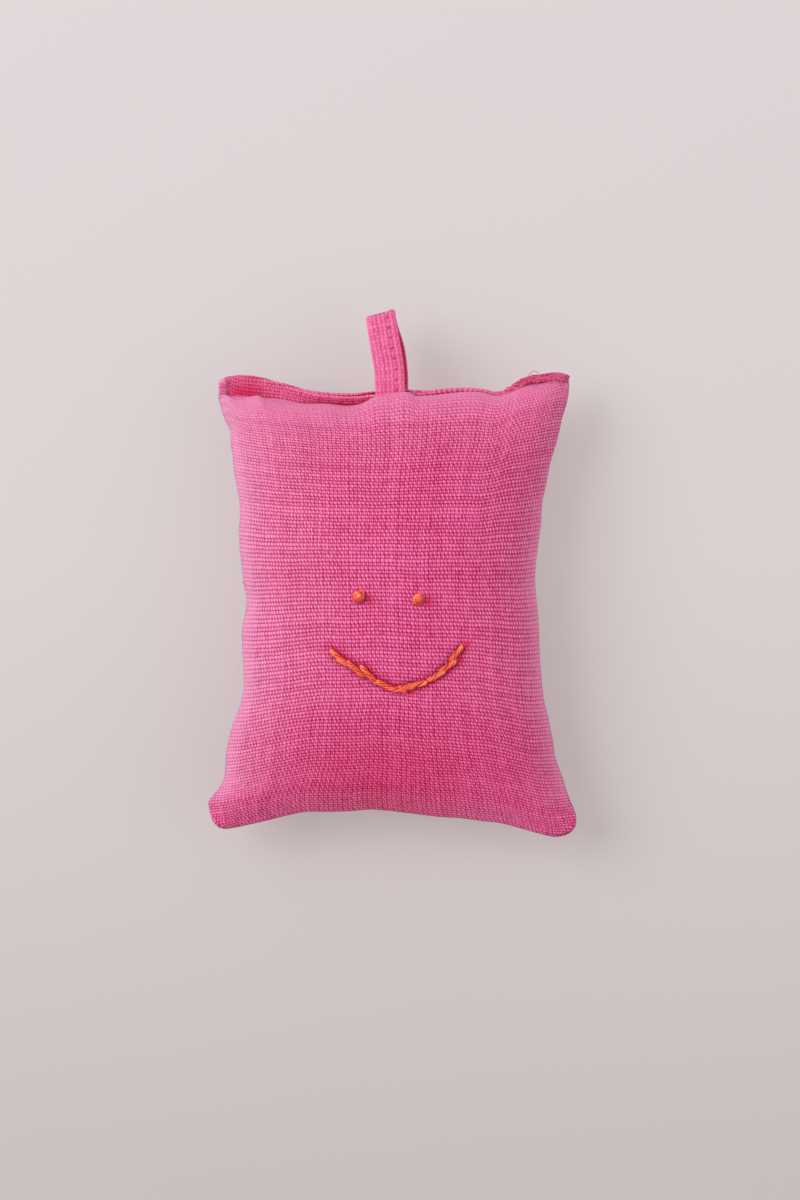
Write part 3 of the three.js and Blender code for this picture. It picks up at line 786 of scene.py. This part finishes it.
round_the_case = np.concatenate((front_skin[0, :0:-1], front_skin[:-1, 0], front_skin[-1]))
round_the_case = round_the_case * (1, 1, 0) + (0, 0, seam_plane)
outwards = unit(np.gradient(round_the_case, axis=0))
outwards = np.stack((outwards[:, 1], -outwards[:, 0], 0 * outwards[:, 0]), axis=-1)
for name, node, lift in (("seam_needle_stitches", "seam_needle_thread", seam_thread_lift),
                         ("seam_bobbin_stitches", "seam_bobbin_thread", -seam_thread_lift)):
    row = stitches(name, round_the_case - outwards * seam_depth + (0, 0, lift), outwards, seam_stitch)
    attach(row, "sachet")
    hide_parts(node)

# ---- The loop ----
# A strip of the same cotton, its raw edges folded in and stitched down along one side, bent double into a
# loop. Its two ends, the tails, are caught between the folds of the closing lip. It stands out from there and
# leans a little, and its back leg lies to the right of the front one.
loop_width = 0.0067
loop_thickness = 0.0010
loop_path = np.array((
    (-0.1, 38.5, 0.6), (-0.1, 41.5, 0.6), (-0.1, 44.5, 0.9), (-0.2, 47.5, 1.5), (-0.5, 52.0, 2.4),
    (-1.2, 56.0, 2.9), (-1.8, 59.6, 2.9), (-2.2, 62.2, 2.1), (-2.3, 63.3, 0.3), (-2.2, 62.4, -1.6),
    (-1.5, 59.8, -2.7), (-0.3, 56.0, -2.8), (0.3, 52.0, -2.0), (0.5, 47.5, -1.1), (0.3, 44.5, -0.6),
    (0.1, 41.5, -0.6), (0.1, 38.5, -0.6))) / 1000
loop_slopes = (0, 0, 1, 3, 6, 9, 13, 15, 16, 14, 9, 4, 1, 0, 0, 0, 0)
needle_hole_pitch = 0.0023
needle_hole_inset = 0.0018
needle_hole_depth = 0.00060
needle_hole_size = (0.00025, 0.00028)
loop_stations = 230
loop_root = 0.0455
tape_shown_from = loop_root - 0.0012
unstitched_ends = (4 * needle_hole_pitch, 0.0025)
tape_even_paling = 0.25
inside_face_shade = 0.9
hole_line = loop_width / 2 - needle_hole_inset
tape_relief = ((0.75, 0.20, 0.12), (-0.90, 0.15, 0.10), (1 - 2 * needle_hole_inset / loop_width, 0.07, -0.22))


def loop_band():
    """Stations along the loop: middle points, ways across and facings, and the length run so far."""
    way = np.append(0, np.cumsum(np.linalg.norm(np.diff(loop_path, axis=0), axis=1)))
    run = np.linspace(0, way[-1], loop_stations)
    middle = curve_through(run, way, loop_path)
    slope = np.radians(curve_through(run, way, loop_slopes))
    ahead = unit(np.gradient(middle, axis=0))
    across = np.stack((np.cos(slope), np.sin(slope), 0 * slope), axis=-1)
    across = unit(across - ahead * (across * ahead).sum(axis=1, keepdims=True))
    return middle + (0, 0, seam_plane), across, np.cross(across, ahead), run


def band_rim(count_face=26, count_edge=6):
    """The cross-section of the folded strip, as places across it and heights."""
    shares = np.linspace(-1, 1, count_face)
    face = 1 + sum(height * np.exp(-((shares - place) / reach) ** 2) for place, reach, height in tape_relief)
    turn = np.linspace(np.pi / 2, -np.pi / 2, count_edge + 2)[1:-1]
    thick = loop_thickness / 2
    inner = loop_width / 2 - thick
    top = np.stack((inner * shares, thick * face), axis=1)
    right = np.stack((inner + thick * np.cos(turn), thick * np.sin(turn)), axis=1)
    return np.concatenate((top, right, top[::-1] * (1, -1), right * -1))


middle, across, facing, run = loop_band()
rim = band_rim()
edge_way = np.append(0, np.cumsum(np.linalg.norm(np.diff(rim, axis=0), axis=1)))
holes = np.exp(-((rim[:, 0] - hole_line) / needle_hole_size[0]) ** 2)[None] * np.exp(
    -((np.mod(run, needle_hole_pitch) - needle_hole_pitch / 2) / needle_hole_size[1]) ** 2)[:, None]
heights = rim[None, :, 1] * np.ones((len(run), 1)) - np.sign(rim[None, :, 1]) * holes * needle_hole_depth
band = middle[:, None] + across[:, None] * rim[None, :, :1] + facing[:, None] * heights[..., None]


def tube(name, rings, flats, recess, finish):
    """A closed tube through rings of points, with a flat map that runs round and along it."""
    count, around = rings.shape[:2]
    grid = np.arange(count * around).reshape(count, around)
    quads = quads_of(np.column_stack((grid, grid[:, 0]))).tolist()
    mesh = smooth_mesh(name, rings, quads + [grid[0].tolist(), grid[-1, ::-1].tolist()])
    corners = np.array([corner.vertex_index for corner in mesh.loops])
    places = flats.reshape(-1, 2)[corners]
    seam = np.arange(len(quads) * 4) % 4 >= 2
    closing = seam & (corners[:len(seam)] % around == 0)
    places[:len(seam)][closing, 0] += flats[0, -1, 0] + (flats[0, 1, 0] - flats[0, 0, 0])
    mesh.uv_layers.new(name="flat").data.foreach_set("uv", places.ravel())
    point_values(mesh, "recess", recess)
    # The whole tape is paled evenly through the same mix.
    point_values(mesh, "faded", np.full(count * around, tape_even_paling))
    mesh.materials.append(finish)
    return placed(name, mesh)


rose_tape = woven_cotton(
    "rose_tape", openness=0.75, pairing=0.19, weft_cover=0.42, warp_level=0.45, warp_swing=0.18)
flats = np.stack(np.broadcast_arrays(edge_way[None], run[:, None]), axis=-1)
# Painted shade on the tape's inner face and in its needle holes.
inside = np.clip(-rim[:, 1] / loop_thickness * 2.2, 0, 1) * (np.abs(rim[:, 0]) < loop_width * 0.47)
recess = np.maximum(inside_face_shade * inside[None], holes * (rim[None, :, 1] > 0))
outside = np.where(middle[:, 1] > tape_shown_from)[0]
caught = (np.arange(outside[0] + 1), np.arange(outside[-1], len(run)))
loop = tube("loop_tape", band[outside], flats[outside], recess[outside], rose_tape)
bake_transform(loop)
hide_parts("hanging_loop")
ends = [tube("tail", band[part], flats[part], recess[part], rose_tape) for part in caught]
with bpy.context.temp_override(active_object=ends[0], selected_editable_objects=ends):
    bpy.ops.object.join()
tails = ends[0]
tails.name = tails.data.name = "loop_tail_tape"
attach(tails, "sachet")
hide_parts("loop_tails")

edge_line = middle + across * hole_line + facing * loop_thickness * 0.42
stitched = outside[(run[outside] > unstitched_ends[0])
                   & (run[outside] < run[outside[-1]] - unstitched_ends[1])]
edge_stitches = stitches(
    "loop_edge_stitches", edge_line[stitched], facing[stitched], needle_hole_pitch, rise=0.0003, span=0.72)
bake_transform(edge_stitches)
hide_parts("loop_edge_thread")

# ---- The closing seam ----
# Rose thread again, in one row of machine stitches through both folds of the lip from corner to corner. The
# stitches lie a little in from the lip's edge, and stand apart with the folds where these open.
closing_stitch = 0.0024
closing_rise = 0.0004

rim_front = front_skin[:, -1] * (1, 1, 0) + (0, 0, seam_plane)
out, lip_facing, width, opening = lip_frames(rim_front)
inside_lip = slice(8, -8)
for name, node, side in (("closing_needle_stitches", "closing_needle_thread", 1),
                         ("closing_bobbin_stitches", "closing_bobbin_thread", -1)):
    height = lip_layer + opening * loop_spread(rim_front) + cloth_thickness / 2
    places = rim_front + out * (width - closing_inset) + lip_facing * side * height
    facings = lip_facing * side
    row = stitches(name, places[inside_lip], facings[inside_lip], closing_stitch, rise=closing_rise)
    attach(row, "sachet")
    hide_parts(node)

# ---- The face ----
# Worked on the front in six-strand orange floss: two knots for eyes, and ten overlapping stitches for the
# smile. Each is a bundle of loosely twisted strands that dives into the cloth and draws it in a little.
strand_count = 6
strand_width = 0.00050
floss_twist = 0.0058
floss_rise = 0.0007
floss_dive = 0.0010
bundle_width = 0.00090
bundle_height = 0.00066
bundle_taper = 0.42
# Painted shade on the strands that lie low in the bundle.
lower_strand_shade = 0.16
# Painted highlight at each stitch's upper end, and how far along it reaches.
tip_highlight = 0.30
tip_highlight_reach = 0.2
smile_stitches = (
    ((-13.4, -10.8), (-9.5, -14.0)), ((-12.0, -12.7), (-9.0, -14.4)), ((-9.8, -13.2), (-5.6, -17.0)),
    ((-6.8, -14.2), (-2.6, -18.7)), ((-3.6, -17.4), (1.2, -19.8)), ((-1.0, -19.1), (3.8, -19.9)),
    ((1.2, -19.1), (5.4, -18.9)), ((3.3, -18.8), (8.1, -17.9)), ((7.6, -17.8), (12.1, -15.3)),
    ((10.2, -15.8), (14.4, -13.1)), ((12.6, -13.5), (15.7, -9.8)))
smile_groups = ((0,), (1,), (2,), (3,), (4,), (5, 6), (7,), (8,), (9,), (10,))
eyes = ((-6.8, 0.7), (6.0, 0.1))
knot_radii = (0.00172, 0.00148)
knot_leans = ((-0.50, 0.36, 1), (0.05, 0.10, 1))
knot_starts = (3.6, 0.4)
knot_posts = (0.0017, 0.0011)
post_span = (-0.0004, 0.0014)
knot_turns = 2.4
knot_strands = 4
knot_bundle = 0.00021
knot_coiling = (0.38, 0.94)
knot_heights = (0.00040, 0.00062)
knot_dive = 0.0007

face_from = seam_plane + 0.008
draw_depth = 0.00060
draw_reach = 0.0013
stitch_shade = ((0.0009, 0.0), 0.0010)
eye_shade = ((0.0019, -0.0005), 0.0013)


def line_gap(places, start, end):
    """How far places lie from a straight line between two points."""
    way = end - start
    share = np.clip(((places - start) @ way) / max(way @ way, 1e-9), 0, 1)
    return np.linalg.norm(places - start - share[:, None] * way, axis=1)


points = point_places(front_panel.data)
drawn_in, shaded = np.zeros(len(points)), np.zeros(len(points))
for first, last in smile_stitches + tuple((eye, eye) for eye in eyes):
    beside, reach = eye_shade if first == last else stitch_shade
    first, last = np.array(first) / 1000, np.array(last) / 1000
    drawn_in = np.maximum(drawn_in, np.exp(-(line_gap(points[:, :2], first, last) / draw_reach) ** 2))
    # A painted shadow a little to the right of each stitch and knot, added to the cloth's painted shade.
    gap = line_gap(points[:, :2], first + beside, last + beside)
    shaded = np.maximum(shaded, np.exp(-(gap / reach) ** 2))
points[:, 2] -= draw_depth * drawn_in * (points[:, 2] > face_from)
front_panel.data.vertices.foreach_set("co", points.ravel())
recess = np.empty(len(points))
painted_shade_layer = front_panel.data.attributes["recess"].data
painted_shade_layer.foreach_get("value", recess)
painted_shade_layer.foreach_set("value", np.maximum(recess, shaded * (points[:, 2] > face_from)))
front_panel.data.update()

floss_scale = 1500
floss_tip_highlight = (0.96, 0.36, 0.19)
floss_crest_highlight = (0.94, 0.165, 0.055)
floss_orange = (0.92, 0.090, 0.022)
floss_half_shade = (0.76, 0.036, 0.014)
floss_shade = (0.40, 0.010, 0.012)
orange_floss, start = thread_finish("orange_floss", {"Roughness": 0.38, "Specular IOR Level": 0.8})
# Painted highlight and shade on the floss, by the under attribute: pale at the upper tips and on the strands'
# crests, deep red on their sides and undersides.
start.node("ShaderNodeValToRGB", {"stops": (
    (0.0, floss_tip_highlight), (0.14, floss_crest_highlight), (0.24, floss_orange), (0.34, floss_half_shade), (0.54, floss_shade))}, {
        0: 0.16 + start.look("under") + 0.42 * (start.grain(floss_scale) - 0.5)}).feed("Base Color")
cloth_tree = BVHTree.FromPolygons([v.co for v in front_panel.data.vertices],
                                  [tuple(p.vertices) for p in front_panel.data.polygons])


def on_cloth(x, y):
    """The point of the front panel's face over x, y in millimetres, and the way that it faces there."""
    hit = cloth_tree.ray_cast(Vector((x / 1000, y / 1000, 0.1)), Vector((0, 0, -1)))
    return np.array(hit[0]), np.array(hit[1])


def strand(path, width, extra_shade=0.0, around=9):
    """Rings of points round a path, drawn in at its ends, and the painted shade of each point: more on its
    underside, plus extra_shade.
    """
    ahead = unit(np.gradient(path, axis=0))
    beside = unit(np.cross(ahead, (0.1, 0.2, 1)))
    up = np.cross(beside, ahead)
    turn = np.arange(around) * 2 * np.pi / around
    from_start = np.linspace(0, 8, len(path))
    ends = np.sqrt(np.clip(np.minimum(from_start, from_start[::-1]), 0.15, 1))
    ring = np.cos(turn)[None, :, None] * beside[:, None] + np.sin(turn)[None, :, None] * up[:, None]
    under = 0.5 - 0.5 * np.sin(turn)[None] + np.broadcast_to(extra_shade, len(path))[:, None]
    return path[:, None] + ring * (width / 2 * ends)[:, None, None], under


def joined_tubes(name, tubes, finish):
    """One piece of many strands, each closed at both ends."""
    points, faces = [], []
    for rings, _ in tubes:
        count, around = rings.shape[:2]
        grid = np.arange(count * around).reshape(count, around) + len(points)
        faces += quads_of(np.column_stack((grid, grid[:, 0])))[:, [0, 3, 2, 1]].tolist()
        faces += [grid[0, ::-1].tolist(), grid[-1].tolist()]
        points += rings.reshape(-1, 3).tolist()
    mesh = smooth_mesh(name, points, faces)
    point_values(mesh, "under", np.concatenate([under.ravel() for _, under in tubes]))
    mesh.materials.append(finish)
    return placed(name, mesh)


def floss_stitch(start, end, seed):
    """The strands of one stitch between two points of the cloth, in millimetres."""
    rng = np.random.default_rng(seed)
    share = np.linspace(0, 1, 26)
    from_middle = np.abs(2 * share - 1)
    flat = np.array(start) + (np.array(end) - np.array(start)) * share[:, None]
    base, up = (np.array(side) for side in zip(*(on_cloth(*place) for place in flat)))
    length = np.linalg.norm(base[-1] - base[0])
    lift = floss_rise * (1 - from_middle ** 5) - floss_dive * from_middle ** 14
    centre = base + up * lift[:, None]
    beside = np.cross(unit(np.gradient(centre, axis=0)), up)
    swell = 1 - bundle_taper * from_middle ** 4
    # A painted highlight at the stitch's upper end, which faces the light.
    tip_light = tip_highlight * np.exp(-((share if start[1] > end[1] else 1 - share) / tip_highlight_reach) ** 2)
    tubes = []
    for n in range(strand_count):
        turn = 2 * np.pi * (n / (strand_count - 1) + share * length / floss_twist) + rng.uniform(-0.3, 0.3)
        reach = swell / 2 * (n < strand_count - 1)
        offset = beside * (np.cos(turn) * reach * bundle_width)[:, None] + up * (
            np.sin(turn) * reach * bundle_height)[:, None]
        width = strand_width * rng.uniform(0.92, 1.08)
        tubes.append(strand(centre + offset, width, lower_strand_shade * (1 - np.sin(turn)) - tip_light))
    return tubes


for n, group in enumerate(smile_groups, 1):
    tubes = [rings for g in group for rings in floss_stitch(*smile_stitches[g], seed=g)]
    piece = joined_tubes(f"smile_floss_{n:02}", tubes, orange_floss)
    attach(piece, "sachet")
    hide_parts(f"smile_stitch_{n:02}")


def french_knot(place, knot_radius, lean, phase, post_width):
    """Floss wound twice round the needle and drawn down: its bundle coils inwards over itself and dives."""
    base = on_cloth(*place)[0]
    up = unit(np.array(lean))
    side = unit(np.cross(up, (0, 1, 0)))
    ahead = np.cross(up, side)
    share = np.linspace(0, 1, 96)
    turn = phase - 2 * np.pi * knot_turns * share
    outer = knot_radius - strand_width / 2 - knot_bundle
    shrink = np.interp(share, knot_coiling, (0, 1))
    coil = outer * (1 - 0.86 * shrink ** 1.1)
    climb = knot_heights[0] + knot_heights[1] * np.sin(np.pi * shrink * 0.85)
    climb = climb - knot_dive * np.clip(1 - share / 0.05, 0, 1)
    tubes = []
    for n in range(knot_strands):
        twist = 2 * np.pi * n / knot_strands + turn * 1.3
        radius, height = coil + knot_bundle * np.cos(twist), climb + knot_bundle * np.sin(twist)
        path = base + side * (radius * np.cos(turn))[:, None] + ahead * (radius * np.sin(turn))[:, None]
        # A painted highlight on the knot's upper-left side, towards the light, and painted shade on its lower
        # strands and on the post.
        upper_left_light = 0.19 * np.cos(turn + np.pi / 4)
        tubes.append(strand(path + up * height[:, None], strand_width, 0.14 - upper_left_light - 0.10 * np.sin(twist)))
    rings, under = strand(base + up * np.linspace(*post_span, 16)[:, None], post_width, around=16)
    return tubes + [(rings, 0.30 * under - 0.05)]


for side, *knot in zip(("left", "right"), eyes, knot_radii, knot_leans, knot_starts, knot_posts):
    piece = joined_tubes(f"{side}_eye_floss", french_knot(*knot), orange_floss)
    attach(piece, "sachet")
    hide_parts(f"{side}_eye_knot")

# ---- The loose threads ----
# Ends of the case's own thread that have worked out of the lip's folds at its right corner, one of them
# standing off in an arc, and a short hair on the left side. They are spun cotton, held only by the weave.
ravel_width = 0.00024
ravel_span = (0.0235, 0.0385)
ravel_count = 120
ravel_folds = ((0.0002, 1), (0.0001, 0.35), (0.0001, 0), (0.0001, -0.35), (0.0002, -0.8))
hair_width = 0.00014
hair_place = np.array((-0.0320, 0.0030, seam_plane + 0.003))
arc_width = 0.00016
arc_place = np.array((0.0316, 0.0497, seam_plane + 0.0028))

rng = np.random.default_rng(31)
folds = [rim_front + out * (width - down) - lip_facing * depth * (lip_layer + opening)
         for down, depth in ravel_folds]
tubes = []
for n, place in enumerate(np.linspace(*ravel_span, ravel_count)):
    fold = folds[n % len(folds)]
    centre = np.array([np.interp(place, rim_front[:, 0], fold[:, axis]) for axis in range(3)])
    arc = np.linspace(0, np.pi * rng.uniform(0.8, 1.3), 14)[:, None]
    lean = unit(np.array((rng.uniform(-0.6, 0.6), 1, rng.uniform(-0.4, 1.0))))
    along_fold = unit(np.array((1, rng.uniform(-0.4, 0.6), rng.uniform(-0.5, 0.5))))
    reach, tall = rng.uniform(0.0004, 0.0011), rng.uniform(0.0002, 0.0006)
    path = centre - (0, 0.0003, 0) - along_fold * reach * np.cos(arc) + lean * tall * np.sin(arc)
    tubes.append(strand(path, ravel_width * rng.uniform(0.8, 1.2), around=6))
bend = np.linspace(0, 1, 10)[:, None]
hair = hair_place + bend * (-0.0012, 0.0008, 0) + np.sin(bend * np.pi) * (0, 0.0004, 0.0003)
bow = np.linspace(-1, 1, 16)[:, None]
stray = arc_place + bow * (0.0013, 0.0002, 0) + (1 - bow ** 2) * (0, 0.0010, 0.0006)
tubes += [strand(hair, hair_width, around=6), strand(stray, arc_width, around=6)]
piece = joined_tubes("ravelled_threads", tubes, sewing_thread)
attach(piece, "sachet")

# ---- The table and the camera ----
# A plain pale surface, lit softly from a window at the upper left, and seen from straight above. Its colour
# is painted darker towards the bottom, as the window's light falls off, and the camera also sees a share of
# a painted glow on it, paler towards the top, which keeps the shadow pale.
camera_height = 0.9
frame_height = 0.2667
frame_centre = (0.0020, 0.0)
film_width = 36
floor_reach = 2
floor_falloff_tones = (-0.13, 0.13, (0.572, 0.540, 0.535), (0.662, 0.640, 0.638))
camera_glow_tones = (-0.13, 0.01, (0.545, 0.448, 0.453), (0.728, 0.638, 0.643))
camera_glow_share = 0.45
lamps = (("window", 0.9, 12.5, (-0.90, 0.38, 1.03)), ("fill", 1.2, 3.5, (1.2, -0.2, 0.8)))
room_light = (0.9, 0.88, 0.88, 1)
room_strength = 0.70

camera_data = bpy.data.cameras.new("camera")
camera_data.sensor_width = film_width
camera_data.lens = film_width * camera_height / frame_height
camera = placed("camera", camera_data)
camera.location = (*frame_centre, seam_plane + camera_height)
scene.camera = camera
scene.view_settings.view_transform = "Standard"

corners = [(floor_reach * x, floor_reach * y, 0) for x, y in ((-1, -1), (1, -1), (1, 1), (-1, 1))]
floor = placed("floor", smooth_mesh("floor", corners, [(0, 1, 2, 3)]))
floor_finish, start = new_finish("floor", {"Roughness": 0.9})
run = start.node("ShaderNodeSeparateXYZ", {}, {0: start.node("ShaderNodeTexCoord", output=3)}, 1)
lit, pale = (start.node("ShaderNodeMapRange", {}, {0: run, 1: near, 2: far}).between(dark, light)
             for near, far, dark, light in (floor_falloff_tones, camera_glow_tones))
lit.feed("Base Color")
# The painted glow, seen by the camera for its share of the surface's look.
pale = start.node("ShaderNodeEmission", {}, {"Color": pale, "Strength": 1})
nodes = floor_finish.node_tree.nodes
seen = start.node("ShaderNodeMixShader", {}, {
    0: start.node("ShaderNodeLightPath") * camera_glow_share,
    1: Socket(floor_finish.node_tree, nodes["Principled BSDF"].outputs[0]), 2: pale})
floor_finish.node_tree.links.new(seen.output, nodes["Material Output"].inputs["Surface"])
floor.data.materials.append(floor_finish)

for name, size, power, place in lamps:
    lamp = bpy.data.lights.new(name, "AREA")
    lamp.size, lamp.energy = size, power
    light = placed(name, lamp)
    light.location = place
    light.rotation_euler = (-Vector(place)).to_track_quat("-Z", "Y").to_euler()
room = bpy.data.worlds.new("room")
scene.world = room
room.use_nodes = True
room.node_tree.nodes["Background"].inputs["Color"].default_value = room_light
room.node_tree.nodes["Background"].inputs["Strength"].default_value = room_strength
